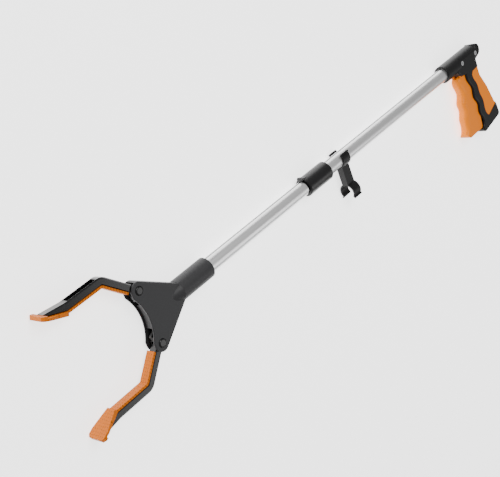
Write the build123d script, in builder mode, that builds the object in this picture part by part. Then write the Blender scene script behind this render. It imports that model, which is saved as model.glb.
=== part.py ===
from build123d import *
import os
from math import atan2, cos, radians, sin

# A folding reacher grabber, lying on its side.  The tubes run along X, from the
# jaws (-X) to the handle (+X).  The grip points to -Y, and Z is across the object.
# "joint" below is the fold joint, where the two tubes meet.

os.makedirs("parts", exist_ok=True)

# ------------------------------------------------------------ driving sizes (mm)
tube_od = 18.0                 # both tubes
tube_wall = 1.2
keyway_width = 2.6             # groove along the top of both tubes
keyway_depth = 1.0
front_tube_shown = 178.0       # bare tube between the jaw neck and the joint sleeve
rear_tube_shown = 281.0        # bare tube between the joint sleeve and the handle
tube_seat = 32.0               # how far a tube goes into the neck
handle_seat = 20.0             # how far the rear tube goes into the handle

sleeve_length = 44.0           # joint sleeve
sleeve_wall = 2.9
plug_depth = 15.0              # how far the front collar goes into the sleeve
plug_clear = 2.0               # plug's end to the rear tube
collar_flange = 2.0            # ring of the collar that stays outside the sleeve
hinge_lift = 2.4               # fold pin's distance from the tubes' outside
hinge_pin_d = 2.4
knuckle_r = 2.1
knuckle_width = 4.4

neck_od = 24.8                 # jaw head
neck_length = 48.0
head_length = 96.0             # neck rim to the jaw pivots
pivot_spread = 64.0            # between the two jaw pivots
corner_r = 9.6                 # head corners, about the pivots
head_half = 8.0                # half the head's thickness
plate_thick = 1.8              # head's plates and side walls
mouth_sag = 7.5                # how far the mouth curves in between its corners

arm_half = 5.8                 # half the arm's height, along Z
arm_thick = 8.4                # arm's thickness in its plane
pad_thick = 2.6                # soft strip on the arm's inner face
paddle_thick = 4.6             # extra thickness of the tip paddle
paddle_half = 12.5             # half the paddle's width, along Z
jaw_rest_angle = 24.0          # the arms stand this far open from their drawn pose
jaw_range = 34.0               # degrees, open to closed
pivot_pin_d = 4.0
drive_pin_d = 2.6
yoke_thick = 3.0

rod_d = 3.0
cable_d = 1.8
ferrule_d = 6.0

housing_r = 12.2               # handle's tube housing
housing_length = 88.5          # mouth to the eyelet's centre
eyelet_r = 8.8
eyelet_hole_r = 6.3
eyelet_half = 4.5
grip_half = 11.5               # half the grip's thickness
grip_reach = 113.5             # tube axis to the pommel's end
inlay_thick = 1.6
inlay_sink = 0.4               # the inlay stands this much below the spine's face
trigger_half = 8.0
trigger_range = 20.0           # degrees
trigger_reach = 107.0          # pivot to the trigger's furthest corner
trigger_foot = -104.5          # trigger's lower end
trigger_pivot_in = 38.0        # housing mouth to the trigger pivot
rear_screw_in = 75.0           # housing mouth to the rear screw
hook_r = 13.0                  # trigger pivot to the rod's hook pin
boss_r = 3.8                   # moulded boss that the trigger turns on
screw_d = 3.0
screw_head_d = 6.4

clip_station = 32.0            # joint sleeve's rear rim to the clip's middle
clip_length = 14.0
clip_wall = 1.9
clip_pitch = 44.0              # between the clip's two rings
clip_mouth = 100.0             # degrees of ring left open
clip_web_thick = 9.0

clip_flare = 48.0              # degrees that the clip's lips turn outward
clip_lip = 2.8
trigger_hub_r = 7.5
trigger_hub_half = 6.0
trigger_top = -14.0            # top of the trigger's blade, under the housing
trigger_round = 6.0             # along the edges of the finger waves
trigger_corner = 3.0
trigger_toe = ((0.4, 3.5), (3.6, 0.0))        # the lower front corner, from the last wave
slot_gap = 0.5                 # round the trigger in its slot
turn_steps = 4                 # positions that the trigger's slot is cut at
mechanism_r = 8.6
rod_end_r = 3.0
rod_end_clear = 0.65           # rod end to the trigger's hub, with the trigger pulled
torsion_wire_d = 0.7
torsion_r = 4.8
torsion_turns = 3.5
torsion_lift = 0.75            # hub face to the spring's first turn
grip_top = 4.0                 # where the grip's sides run into the housing
grip_round = 2.2
inlay_back_thick = 6.0
inlay_round = 3.0
housing_body_length = 77.0     # mouth to where the housing tapers in
housing_taper = 4.0
pommel_round = 5.0
flat_start = 33.0              # housing mouth to where its sides become flat
screw_reach = 8.0
screw_seat_z = 8.8
screw_head_thick = 2.4

keyway_rib = 1.1               # tube wall behind the keyway
rim_chamfer = 1.0
lug_width = 2.0                # sleeve's two hinge lugs
lug_ramp = 10.0
spigot_length = 16.0           # collar's spigot inside the front tube
collar_bore_r = 6.0
cable_slot = 4.4               # slot that lets the cable bend out of the collar
guide_length = 12.0
ferrule_length = 28.0
ferrule_cable_depth = 20.0
ferrule_rod_depth = 6.0
ferrule_clear = 2.0            # ferrules to the collar and to the cable guide
rod_socket = 7.0               # rod's depth in the yoke and in the rod end

mouth_margin = 5.0             # jaw pivot to the mouth's corner, across the head
mouth_wall_in = 2.6            # mouth edge to the inner wall
mouth_wall_thick = 1.6
wall_clear = 7.0               # end of the inner wall to the yoke's wing
wing_slope = 5.0
cover_clear = 2.0              # neck's slope to the cover's rear edge
neck_slope = 14.0              # length of the slope from the neck down to the plate
plate_edge = 0.8               # chamfer round the plates
plate_neck_half = 10.2         # half the plates' width where they meet the neck
rivet_seat = 1.0
rivet_head_r = 4.8
rivet_dome = 1.9
spring_wire_d = 0.9
spring_r = 3.4
spring_turns = 9
spring_seat_wall = 10.0        # front tube's end to the spring's seat
yoke_hub_r = 4.2
yoke_rim = 1.7                 # metal round the yoke's slots
yoke_hub_length = 12.0
yoke_hub_back = 12.0           # jaw pivots to the yoke's hub
yoke_neck_half = 3.5           # half the yoke's width where it meets its hub
yoke_clear = 1.4               # inner wall to the yoke's middle
hub_r = 5.8
lobe_r = 2.9
elbow_r = 14.0                 # outer radius of the arm's elbow
arm_chamfer = 1.2
channel_floor = -1.4           # channel's floor, from the arm's middle line
channel_half = 4.4
channel_bays = 4
channel_ends = ((0.34, 0.90), (0.12, 0.92))   # pocketed share of the arm's two long stretches
rib_share = 0.03
rib_height = 1.6
strip_share = 0.24             # where the soft strip starts on the first stretch
paddle_wide = 108.0            # where the paddle reaches its full width
paddle_clip = 3.0
paddle_heel = 2.0              # the paddle's rise behind the arm's end

fixed_gap = 0.05               # clearance between pieces fixed to each other
run_gap = 0.06                 # radial clearance of a turning fit
slide_gap = 0.3                # clearance between pieces that pass each other

# ---------------------------------------------------------------- worked-out sizes
tube_r = tube_od / 2
tube_bore_r = tube_r - tube_wall
hinge_offset = tube_r + hinge_lift
sleeve_bore_r = tube_r + 0.25
sleeve_r = sleeve_bore_r + sleeve_wall
neck_r = neck_od / 2
sleeve_end_x = sleeve_length
rear_tube_x0 = plug_depth + plug_clear
mouth_x = sleeve_end_x + rear_tube_shown
rear_tube_x1 = mouth_x + handle_seat
neck_rim_x = -front_tube_shown
front_tube_x0 = neck_rim_x - tube_seat
pivot_x = neck_rim_x - head_length
pivot_y = pivot_spread / 2
neck_end_x = neck_rim_x - neck_length
eyelet_x = mouth_x + housing_length
trigger_x = mouth_x + trigger_pivot_in
rear_screw_x = mouth_x + rear_screw_in
clip_x = sleeve_end_x + clip_station
travel = 2 * hook_r * sin(radians(trigger_range / 2))
tail_r = travel / (2 * sin(radians(jaw_range / 2)))
cavity_half = head_half - plate_thick
front_ferrule_x = -collar_flange - spigot_length - travel - ferrule_clear
rear_ferrule_x = rear_tube_x0 + guide_length + travel + ferrule_clear
cable_x0 = front_ferrule_x - ferrule_cable_depth + travel + 2.0
cable_x1 = rear_ferrule_x + ferrule_cable_depth - 2.0
spring_seat_x = front_tube_x0 - spring_seat_wall
cover_rear_x = neck_end_x - neck_slope - cover_clear
yoke_hub_x = pivot_x + yoke_hub_back
rod_end_x = trigger_x - trigger_hub_r - slide_gap - travel - rod_socket - fixed_gap - rod_end_clear
mouth_x_mid = pivot_x - 2.0
drive_angle = jaw_range / 2
drive_x = pivot_x - tail_r * sin(radians(drive_angle))
drive_y_low = pivot_y - tail_r
drive_y_high = pivot_y - tail_r * cos(radians(drive_angle))
slot_half = drive_pin_d / 2 + run_gap
wing_end_y = drive_y_high + slot_half + slide_gap + yoke_rim
wing_start_y = drive_y_low - slot_half - yoke_rim
yoke_front_x = drive_x - slot_half - yoke_rim
yoke_middle_x = mouth_x_mid + mouth_wall_in + mouth_wall_thick + yoke_clear


def mitred(path, distance):
    """Points of a polyline moved sideways (to its left) by a distance."""
    moved = []
    for i, (x, y) in enumerate(path):
        before = path[max(i - 1, 0)]
        after = path[min(i + 1, len(path) - 1)]
        into = atan2(y - before[1], x - before[0]) if i > 0 else None
        out = atan2(after[1] - y, after[0] - x) if i < len(path) - 1 else into
        into = out if into is None else into
        middle = (into + out) / 2
        reach = distance / cos((out - into) / 2)
        moved.append((x - reach * sin(middle), y + reach * cos(middle)))
    return moved


def turned(point, degrees_by):
    """A point turned about the origin."""
    c, s = cos(radians(degrees_by)), sin(radians(degrees_by))
    return (point[0] * c - point[1] * s, point[0] * s + point[1] * c)


# ------------------------------------------------------- arm and handle outlines
# The arm is drawn from its pivot: first number forward, second outward.
arm_path = [(0, 0), (43.4, 16.6), (86.0, -2.4), (112.0, -4.2)]
arm_outer = mitred(arm_path, arm_thick / 2)
arm_inner = mitred(arm_path, -arm_thick / 2)
pad_inner = mitred(arm_path, -arm_thick / 2 - pad_thick)
paddle_root = 84.0
paddle_tip = 117.5
paddle_face = -arm_thick / 2 - pad_thick - paddle_thick
arm_tip_thick = 2.6
tip_back = arm_inner[-1][1]

# Handle outlines, in X from the housing's mouth and Y from the tube's axis.
spine_front = [
    (40.4, -17.4), (41.8, -30.3), (47.0, -42.0), (45.4, -56.0), (51.0, -67.2),
    (49.2, -80.0), (53.0, -90.7), (49.6, -103.0),
]
skirt = [(22.0, -8.0), (26.5, -14.0), (31.0, -16.2)]
spine_rear = [
    (53.4, -23.5), (53.9, -29.0), (59.0, -41.0), (59.6, -54.0), (63.4, -67.5),
    (62.6, -80.0), (66.2, -91.5),
]
inlay_top = [(57.0, -19.6), (73.0, -18.5)]
grip_back = [(73.0, -14.0), (74.0, -32.0), (84.0, -54.0), (95.4, -88.0)]
pommel_front = (45.3, -grip_reach)
pommel_rear = (97.4, 8.9 - grip_reach)
inlay_heel = (69.0, -93.5)
inlay_foot = (93.4, -84.6)
trigger_front = [
    (30.4, -15.5), (23.3, -30.0), (26.4, -43.5), (20.4, -55.5), (21.6, -66.0),
    (17.2, -76.5), (16.4, -88.0), (11.8, -97.5),
]
trigger_rear = [(53.0, -30.0), (54.0, -60.0), (51.0, -98.0)]

# ------------------------------------------------- the object's own frame
# Origin: middle of the overall box, at its lowest level.
tip_corners = [
    turned(corner, jaw_rest_angle)
    for corner in ((paddle_tip, paddle_face + 0.6), (paddle_tip, tip_back + paddle_heel))
]
low_x = pivot_x - max(corner[0] for corner in tip_corners)
high_x = eyelet_x + eyelet_r
high_y = pivot_y + max(corner[1] for corner in tip_corners)
low_y = -grip_reach
low_z = -max(paddle_half, neck_r, sleeve_r, housing_r)
frame_x = -(low_x + high_x) / 2
frame_y = -(low_y + high_y) / 2
frame_z = -low_z

mid = Plane(origin=(frame_x, frame_y, frame_z))      # the object's middle plane


def at(x, y=0.0, z=0.0):
    """A point given from the fold joint, in the object's own frame."""
    return (frame_x + x, frame_y + y, frame_z + z)


def across(x):
    """The plane square to the tubes at a station, with its X along +Y."""
    return Plane(origin=at(x), x_dir=(0, 1, 0), z_dir=(1, 0, 0))


def level(z):
    """The middle plane moved across the object."""
    return mid.offset(z)


def save(piece, name):
    """Label a finished piece and write it."""
    piece.part.label = name
    export_step(piece.part, f"parts/{name}.step")


# ------------------------------------------------------------------------- tubes
def make_tube(x0, x1):
    """A drawn tube with a keyway along its top and a rib behind the keyway."""
    with BuildPart() as tube:
        with BuildSketch(across(x0)):
            Circle(tube_r)
            Circle(tube_bore_r, mode=Mode.SUBTRACT)
            with Locations((tube_r - keyway_depth - keyway_rib / 2, 0)):
                Rectangle(keyway_rib, keyway_width + 2 * keyway_rib)
            with Locations((tube_r, 0)):
                Rectangle(2 * keyway_depth, keyway_width, mode=Mode.SUBTRACT)
        extrude(amount=x1 - x0)
    return tube


def rib_slot(x0, x1):
    """The space that the tube's inner rib needs in a piece that sits in the tube."""
    with BuildPart() as slot:
        with BuildSketch(across(x0)):
            with Locations((tube_r, 0)):
                Rectangle(2 * (keyway_depth + keyway_rib + slide_gap),
                          keyway_width + 2 * keyway_rib + 2 * slide_gap)
        extrude(amount=x1 - x0)
    return slot.part


front_tube = make_tube(front_tube_x0, -collar_flange)
save(front_tube, "front_tube")
rear_tube = make_tube(rear_tube_x0, rear_tube_x1)
save(rear_tube, "rear_tube")

# -------------------------------------------------------------------- fold joint
pin_point = (0, hinge_offset)
pin_r = hinge_pin_d / 2
lug_inner = knuckle_width / 2 + slide_gap
lug_outer = lug_inner + lug_width

with BuildPart() as hinge_pin:
    with BuildSketch(level(-lug_outer)):
        with Locations(pin_point):
            Circle(pin_r)
    extrude(amount=2 * lug_outer)
save(hinge_pin, "hinge_pin")

with BuildPart() as joint_sleeve:
    with BuildSketch(across(0)):
        Circle(sleeve_r)
    extrude(amount=sleeve_length)
    chamfer(joint_sleeve.faces().sort_by(Axis.X)[0].edges(), rim_chamfer)
    chamfer(joint_sleeve.faces().sort_by(Axis.X)[-1].edges(), rim_chamfer / 2)
    for z in (-lug_outer, lug_inner):
        with BuildSketch(level(z)):
            with Locations(pin_point):
                Circle(knuckle_r)
            Polygon((0, hinge_offset + knuckle_r), (lug_ramp, sleeve_r - 2),
                    (lug_ramp, sleeve_bore_r + 0.3), (0, hinge_offset - knuckle_r), align=None)
        extrude(amount=lug_width)
    with BuildSketch(across(0)):
        Circle(tube_r + fixed_gap)
        with Locations((tube_r, 0)):
            Rectangle(2 * (keyway_depth - slide_gap), keyway_width - 2 * slide_gap, mode=Mode.SUBTRACT)
    extrude(amount=sleeve_length, mode=Mode.SUBTRACT)
    with BuildSketch(across(0)):
        Circle(sleeve_bore_r)
    extrude(amount=rear_tube_x0 - 1, mode=Mode.SUBTRACT)
    with BuildSketch(level(-lug_inner)):
        with Locations(pin_point):
            Circle(knuckle_r + slide_gap)
        with Locations((0, hinge_offset)):
            Rectangle(knuckle_r + slide_gap, 3 * knuckle_r, align=(Align.MIN, Align.CENTER))
    extrude(amount=2 * lug_inner, mode=Mode.SUBTRACT)
    with BuildSketch(level(-lug_outer)):
        with Locations(pin_point):
            Circle(pin_r + fixed_gap)
    extrude(amount=2 * lug_outer, mode=Mode.SUBTRACT)
save(joint_sleeve, "joint_sleeve")

# The collar's plug has to swing out of the sleeve about the hinge pin, so it is
# the part of a cylinder that stays inside the sleeve's bore turned about that pin.
with BuildPart() as swing_space:
    with BuildSketch(Plane(origin=at(0, hinge_offset), x_dir=(0, -1, 0), z_dir=(1, 0, 0))):
        with Locations((hinge_offset, 0)):
            Circle(sleeve_bore_r - slide_gap / 2)
        Rectangle(hinge_offset, 2 * (sleeve_bore_r - slide_gap / 2), align=(Align.MIN, Align.CENTER))
    revolve(axis=Axis(at(0, hinge_offset), (0, 0, 1)), revolution_arc=360)

with BuildPart() as front_collar:
    with BuildSketch(across(0)):
        Circle(tube_r)
    extrude(amount=plug_depth)
    add(swing_space.part, mode=Mode.INTERSECT)
    with BuildSketch(across(-collar_flange)):
        Circle(tube_r)
    extrude(amount=collar_flange)
    with BuildSketch(across(-collar_flange - spigot_length)):
        Circle(tube_bore_r - fixed_gap)
    extrude(amount=spigot_length)
    add(rib_slot(-collar_flange - spigot_length, -collar_flange), mode=Mode.SUBTRACT)
    with BuildSketch(level(-knuckle_width / 2)):
        with Locations(pin_point):
            Circle(knuckle_r)
        Polygon((-collar_flange, hinge_offset), (knuckle_r, hinge_offset), (knuckle_r, tube_r - 2),
                (-collar_flange, tube_r - 2), align=None)
    extrude(amount=knuckle_width)
    with BuildSketch(across(-collar_flange - spigot_length)):
        Circle(collar_bore_r)
    extrude(amount=collar_flange + spigot_length + plug_depth, mode=Mode.SUBTRACT)
    with BuildSketch(level(-cable_slot / 2)):
        with Locations((knuckle_r + 1, 0)):
            Rectangle(plug_depth, tube_od, align=(Align.MIN, Align.MIN))
    extrude(amount=cable_slot, mode=Mode.SUBTRACT)
    with BuildSketch(level(-knuckle_width / 2)):
        with Locations(pin_point):
            Circle(pin_r + run_gap)
    extrude(amount=knuckle_width, mode=Mode.SUBTRACT)
save(front_collar, "front_collar")

with BuildPart() as cable_guide:
    with BuildSketch(across(rear_tube_x0)):
        Circle(tube_bore_r - fixed_gap)
        Circle(cable_d / 2 + slide_gap, mode=Mode.SUBTRACT)
    extrude(amount=guide_length)
    add(rib_slot(rear_tube_x0, rear_tube_x0 + guide_length), mode=Mode.SUBTRACT)
save(cable_guide, "cable_guide")

# ---------------------------------------------------------- pull rods and cable
with BuildPart() as joint_cable:
    with BuildSketch(across(cable_x0)):
        Circle(cable_d / 2)
    extrude(amount=cable_x1 - cable_x0)
save(joint_cable, "joint_cable")


def make_ferrule(cable_side, rod_side):
    """A crimp barrel: the cable runs into one end and the rod into the other."""
    step = 1 if rod_side > cable_side else -1
    low = min(cable_side, rod_side)
    with BuildPart() as ferrule:
        with BuildSketch(across(low)):
            Circle(ferrule_d / 2)
        extrude(amount=ferrule_length)
        with BuildSketch(across(min(cable_side, cable_side + step * ferrule_cable_depth))):
            Circle(cable_d / 2 + slide_gap)
        extrude(amount=ferrule_cable_depth, mode=Mode.SUBTRACT)
        with BuildSketch(across(min(rod_side, rod_side - step * ferrule_rod_depth))):
            Circle(rod_d / 2 + fixed_gap)
        extrude(amount=ferrule_rod_depth, mode=Mode.SUBTRACT)
    return ferrule


front_ferrule = make_ferrule(front_ferrule_x, front_ferrule_x - ferrule_length)
save(front_ferrule, "front_ferrule")
rear_ferrule = make_ferrule(rear_ferrule_x, rear_ferrule_x + ferrule_length)
save(rear_ferrule, "rear_ferrule")


def make_rod(x0, x1):
    """A straight pull rod."""
    with BuildPart() as rod:
        with BuildSketch(across(x0)):
            Circle(rod_d / 2)
        extrude(amount=x1 - x0)
    return rod


front_rod = make_rod(yoke_hub_x + yoke_hub_length - rod_socket,
                     front_ferrule_x - ferrule_length + ferrule_rod_depth)
save(front_rod, "front_pull_rod")
rear_rod = make_rod(rear_ferrule_x + ferrule_length - ferrule_rod_depth, rod_end_x + rod_socket)
save(rear_rod, "rear_pull_rod")

# ---------------------------------------------------------------------- jaw head
mouth_half = pivot_y - mouth_margin
mouth_r = (mouth_half ** 2 + mouth_sag ** 2) / (2 * mouth_sag)
mouth_wall_half = wing_start_y - wall_clear


def head_outline(inset=0.0):
    """Sketch of the head's triangle, as a hull of its two corners and its neck end."""
    with BuildSketch() as outline:
        with Locations((pivot_x, pivot_y), (pivot_x, -pivot_y)):
            Circle(corner_r - inset)
        with Locations((neck_end_x, 0)):
            Rectangle(1, 2 * (plate_neck_half - inset))
        make_hull()
    return outline.sketch


with BuildPart() as jaw_housing:
    with BuildSketch(level(-head_half)):
        add(head_outline())
        with Locations((mouth_x_mid - mouth_r, 0)):
            Circle(mouth_r, mode=Mode.SUBTRACT)
    extrude(amount=2 * head_half)
    chamfer(jaw_housing.faces().sort_by(Axis.Z)[-1].edges(), plate_edge)
    with BuildSketch(across(neck_end_x)):
        Circle(neck_r)
    extrude(amount=neck_length)
    chamfer(jaw_housing.faces().sort_by(Axis.X)[-1].edges(), rim_chamfer)
    with BuildSketch(mid):
        Polygon((neck_end_x, 0), (neck_end_x, neck_r), (neck_end_x - neck_slope, head_half),
                (neck_end_x - neck_slope, 0), align=None)
    revolve(axis=Axis(at(0), (1, 0, 0)), revolution_arc=360)
    # inside: the jaw space, open at the mouth and round the front of the corners
    with BuildSketch(level(-cavity_half)):
        add(head_outline(plate_thick))
        with Locations((pivot_x - 0.5, 0)):
            Rectangle(pivot_spread, 2 * pivot_spread, align=(Align.MAX, Align.CENTER))
        with Locations((neck_end_x, 0)):
            Rectangle(neck_length, 4 * neck_r, align=(Align.MIN, Align.CENTER), mode=Mode.SUBTRACT)
    extrude(amount=2 * cavity_half, mode=Mode.SUBTRACT)
    # inner wall across the mouth, between the arms
    with BuildSketch(level(-cavity_half)):
        with Locations((mouth_x_mid - mouth_r, 0)):
            Circle(mouth_r + mouth_wall_in + mouth_wall_thick)
            Circle(mouth_r + mouth_wall_in, mode=Mode.SUBTRACT)
        with Locations((pivot_x, 0)):
            Rectangle(4 * corner_r, 2 * mouth_wall_half, mode=Mode.INTERSECT)
    extrude(amount=2 * cavity_half)
    # the underside ahead of the neck, which the cover closes
    with BuildSketch(level(-cavity_half)):
        with Locations((cover_rear_x, 0)):
            Rectangle(head_length, 2 * pivot_spread, align=(Align.MAX, Align.CENTER))
    extrude(amount=-neck_r, mode=Mode.SUBTRACT)
    # tube socket with its key, spring bore and rod hole
    with BuildSketch(across(front_tube_x0 - 0.5)):
        Circle(tube_r + fixed_gap)
        with Locations((tube_r, 0)):
            Rectangle(2 * (keyway_depth - slide_gap), keyway_width - 2 * slide_gap, mode=Mode.SUBTRACT)
    extrude(amount=2 * tube_seat, mode=Mode.SUBTRACT)
    with BuildSketch(across(spring_seat_x)):
        Circle(rod_d / 2 + slide_gap)
    extrude(amount=neck_length, mode=Mode.SUBTRACT)
    with BuildSketch(across(spring_seat_x)):
        Circle(spring_r + spring_wire_d / 2 + slide_gap)
    extrude(amount=neck_end_x - neck_slope - spring_seat_x, mode=Mode.SUBTRACT)
    with BuildSketch(level(-head_half)):
        with Locations((pivot_x, pivot_y), (pivot_x, -pivot_y)):
            Circle(pivot_pin_d / 2 + fixed_gap)
    extrude(amount=2 * head_half, mode=Mode.SUBTRACT)
    with BuildSketch(level(head_half - rivet_seat)):
        with Locations((pivot_x, pivot_y), (pivot_x, -pivot_y)):
            Circle(rivet_head_r + slide_gap)
    extrude(amount=rivet_seat, mode=Mode.SUBTRACT)
save(jaw_housing, "jaw_housing")

with BuildPart() as jaw_cover:
    with BuildSketch(level(-head_half)):
        add(head_outline())
        with Locations((mouth_x_mid - mouth_r, 0)):
            Circle(mouth_r, mode=Mode.SUBTRACT)
        with Locations((cover_rear_x - fixed_gap, 0)):
            Rectangle(neck_length, 4 * neck_r, align=(Align.MIN, Align.CENTER), mode=Mode.SUBTRACT)
        with Locations((pivot_x, pivot_y), (pivot_x, -pivot_y)):
            Circle(pivot_pin_d / 2 + fixed_gap, mode=Mode.SUBTRACT)
    extrude(amount=plate_thick - fixed_gap)
    chamfer(jaw_cover.faces().sort_by(Axis.Z)[0].outer_wire().edges(), plate_edge)
    with BuildSketch(level(-head_half)):
        with Locations((pivot_x, pivot_y), (pivot_x, -pivot_y)):
            Circle(rivet_head_r + slide_gap)
    extrude(amount=rivet_seat, mode=Mode.SUBTRACT)
save(jaw_cover, "jaw_cover")

with BuildPart() as jaw_rivets:
    for y in (-pivot_y, pivot_y):
        with BuildSketch(level(rivet_seat - head_half)):
            with Locations((pivot_x, y)):
                Circle(pivot_pin_d / 2)
        extrude(amount=2 * (head_half - rivet_seat))
    for end in (-1, 1):
        with BuildSketch(level(end * (head_half - rivet_seat))):
            with Locations((pivot_x, pivot_y), (pivot_x, -pivot_y)):
                Circle(rivet_head_r)
        extrude(amount=end * rivet_dome)
        face = jaw_rivets.faces().sort_by(Axis.Z)[-1 if end > 0 else 0]
        level_faces = jaw_rivets.faces().filter_by_position(Axis.Z, face.center().Z - 0.1,
                                                            face.center().Z + 0.1)
        fillet(level_faces.edges(), 0.85 * rivet_dome)
save(jaw_rivets, "jaw_rivets")

# ------------------------------------------------------------- yoke and spring
with BuildPart() as yoke:
    with BuildSketch(level(-yoke_thick / 2)):
        with BuildLine():
            Polyline(
                (yoke_front_x, wing_start_y), (yoke_front_x, wing_end_y),
                (drive_x + slot_half + yoke_rim, wing_end_y), (yoke_hub_x + 8, yoke_neck_half),
                (yoke_hub_x + 8, -yoke_neck_half), (drive_x + slot_half + yoke_rim, -wing_end_y),
                (yoke_front_x, -wing_end_y), (yoke_front_x, -wing_start_y),
                (yoke_middle_x, wing_slope - wing_start_y), (yoke_middle_x, wing_start_y - wing_slope),
                close=True,
            )
        make_face()
        for side in (-1, 1):
            with Locations((drive_x, side * (drive_y_low + drive_y_high) / 2)):
                SlotOverall(2 * slot_half + drive_y_high - drive_y_low + 0.4, 2 * slot_half,
                            rotation=90, mode=Mode.SUBTRACT)
    extrude(amount=yoke_thick)
    with BuildSketch(across(yoke_hub_x)):
        Circle(yoke_hub_r)
    extrude(amount=yoke_hub_length)
    with BuildSketch(across(yoke_hub_x + yoke_hub_length)):
        Circle(rod_d / 2 + fixed_gap)
    extrude(amount=-rod_socket, mode=Mode.SUBTRACT)
save(yoke, "yoke")

spring_x0 = yoke_hub_x + yoke_hub_length + spring_wire_d / 2 + fixed_gap
spring_x1 = spring_seat_x - spring_wire_d / 2 - fixed_gap
with BuildPart() as jaw_spring:
    with BuildLine() as coil:
        Helix(pitch=(spring_x1 - spring_x0) / spring_turns, height=spring_x1 - spring_x0,
              radius=spring_r, center=at(spring_x0), direction=(1, 0, 0))
    with BuildSketch(Plane(origin=coil.line @ 0, z_dir=coil.line % 0)):
        Circle(spring_wire_d / 2)
    sweep(path=coil.line)
save(jaw_spring, "jaw_spring")


# -------------------------------------------------------------------- jaw arms
def arm_plane(side, offset=0.0):
    """The arm's drawing plane at rest: X forward, Y outward; side is +1 or -1."""
    c, s = cos(radians(jaw_rest_angle)), sin(radians(jaw_rest_angle))
    plane = Plane(origin=at(pivot_x, side * pivot_y), x_dir=(-c, side * s, 0), z_dir=(0, 0, -side))
    return plane.offset(offset)


drive_local = (
    tail_r * sin(radians(drive_angle - jaw_rest_angle)),
    -tail_r * cos(radians(drive_angle - jaw_rest_angle)),
)
outer_face = arm_outer[:3] + [(arm_path[-1][0], tip_back + arm_tip_thick)]


def point_on(path, share):
    """A point on one straight stretch of a path, by its share of the stretch."""
    (x0, y0), (x1, y1) = path
    return (x0 + share * (x1 - x0), y0 + share * (y1 - y0))


def round_elbow(profile, outer_r, inner_r):
    """Round the two corners of an arm profile that lie at the elbow."""
    corners = [v for v in profile.vertices() if abs(v.X - arm_path[1][0]) < 1.5]
    corners.sort(key=lambda vertex: vertex.Y)
    fillet(corners[-1], outer_r)
    fillet(corners[0], inner_r)


def arm_tail():
    """Sketch of the arm's hub and the lobe that carries the drive pin."""
    with BuildSketch() as tail:
        Circle(hub_r)
        with Locations(drive_local):
            Circle(lobe_r)
        make_hull()
    return tail.sketch


def make_arm(side):
    """One jaw arm: hub, forked tail and a channel section open to the outside."""
    with BuildPart() as arm:
        with BuildSketch(arm_plane(side, -arm_half)) as profile:
            Polygon(*arm_inner, *reversed(outer_face), align=None)
            round_elbow(profile, elbow_r, elbow_r - arm_thick)
        extrude(amount=2 * arm_half)
        rims = arm.faces().sort_by(Axis.Z)[0].edges() + arm.faces().sort_by(Axis.Z)[-1].edges()
        chamfer(rims.filter_by(lambda edge: edge.length > arm_thick + 1), arm_chamfer)
        # a channel along the outer face, with deeper pockets between its ribs
        floor_line = mitred(arm_path, channel_floor)
        rib_line = mitred(arm_path, channel_floor + rib_height)
        for stretch in (0, 1):
            inner = floor_line[stretch:stretch + 2]
            ribs = rib_line[stretch:stretch + 2]
            outer = mitred(outer_face[stretch:stretch + 2], arm_thick)
            first, last = channel_ends[stretch]
            with BuildSketch(arm_plane(side, -channel_half)):
                Polygon(point_on(ribs, first), point_on(outer, first), point_on(outer, last),
                        point_on(ribs, last), align=None)
            extrude(amount=2 * channel_half, mode=Mode.SUBTRACT)
            for bay in range(channel_bays):
                a = first + (last - first) * bay / channel_bays + rib_share
                b = first + (last - first) * (bay + 1) / channel_bays - rib_share
                with BuildSketch(arm_plane(side, -channel_half)):
                    Polygon(point_on(inner, a), point_on(outer, a), point_on(outer, b),
                            point_on(inner, b), align=None)
                extrude(amount=2 * channel_half, mode=Mode.SUBTRACT)
        with BuildSketch(arm_plane(side, -arm_half)):
            add(arm_tail())
        extrude(amount=2 * arm_half)
        with BuildSketch(arm_plane(side, -arm_half)):
            Circle(pivot_pin_d / 2 + run_gap)
            with Locations(drive_local):
                Circle(drive_pin_d / 2 + fixed_gap)
        extrude(amount=2 * arm_half, mode=Mode.SUBTRACT)
        # fork that the yoke runs in
        with BuildSketch(arm_plane(side, -yoke_thick / 2 - slide_gap)):
            with Locations((-2 * hub_r, -hub_r / 2)):
                Rectangle(3.4 * hub_r, 3 * hub_r, align=(Align.MIN, Align.MAX))
        extrude(amount=yoke_thick + 2 * slide_gap, mode=Mode.SUBTRACT)
    return arm


def make_pad(side):
    """The soft lining of one arm, with its wide tip paddle."""
    root = arm_plane(side)
    with BuildPart() as pad:
        with BuildSketch(arm_plane(side, -paddle_half)):
            Polygon((paddle_root, tip_back + 3), (paddle_tip, tip_back + paddle_heel),
                    (paddle_tip, paddle_face + 0.6), (paddle_root, paddle_face), align=None)
            Polygon(*arm_inner[1:], (arm_inner[-1][0], pivot_y), (0, pivot_y),
                    align=None, mode=Mode.SUBTRACT)
        extrude(amount=2 * paddle_half)
        # plan view of the paddle: forward, and across the arm
        with BuildSketch(Plane(origin=root.origin, x_dir=root.x_dir, z_dir=root.y_dir)):
            Polygon((paddle_root - 1, -arm_half), (paddle_root - 1, arm_half),
                    (paddle_wide, paddle_half), (paddle_tip - paddle_clip, paddle_half),
                    (paddle_tip, paddle_half - paddle_clip), (paddle_tip, paddle_clip - paddle_half),
                    (paddle_tip - paddle_clip, -paddle_half), (paddle_wide, -paddle_half), align=None)
        extrude(amount=2 * paddle_face, mode=Mode.INTERSECT)
        with BuildSketch(arm_plane(side, -arm_half)) as strip:
            Polygon(point_on(arm_inner[:2], strip_share), *arm_inner[1:3],
                    point_on(arm_inner[2:4], 0.3), point_on(pad_inner[2:4], 0.3),
                    *reversed(pad_inner[1:3]), point_on(pad_inner[:2], strip_share), align=None)
            round_elbow(strip, elbow_r - arm_thick, elbow_r - arm_thick - pad_thick)
        extrude(amount=2 * arm_half)
    return pad


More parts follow.
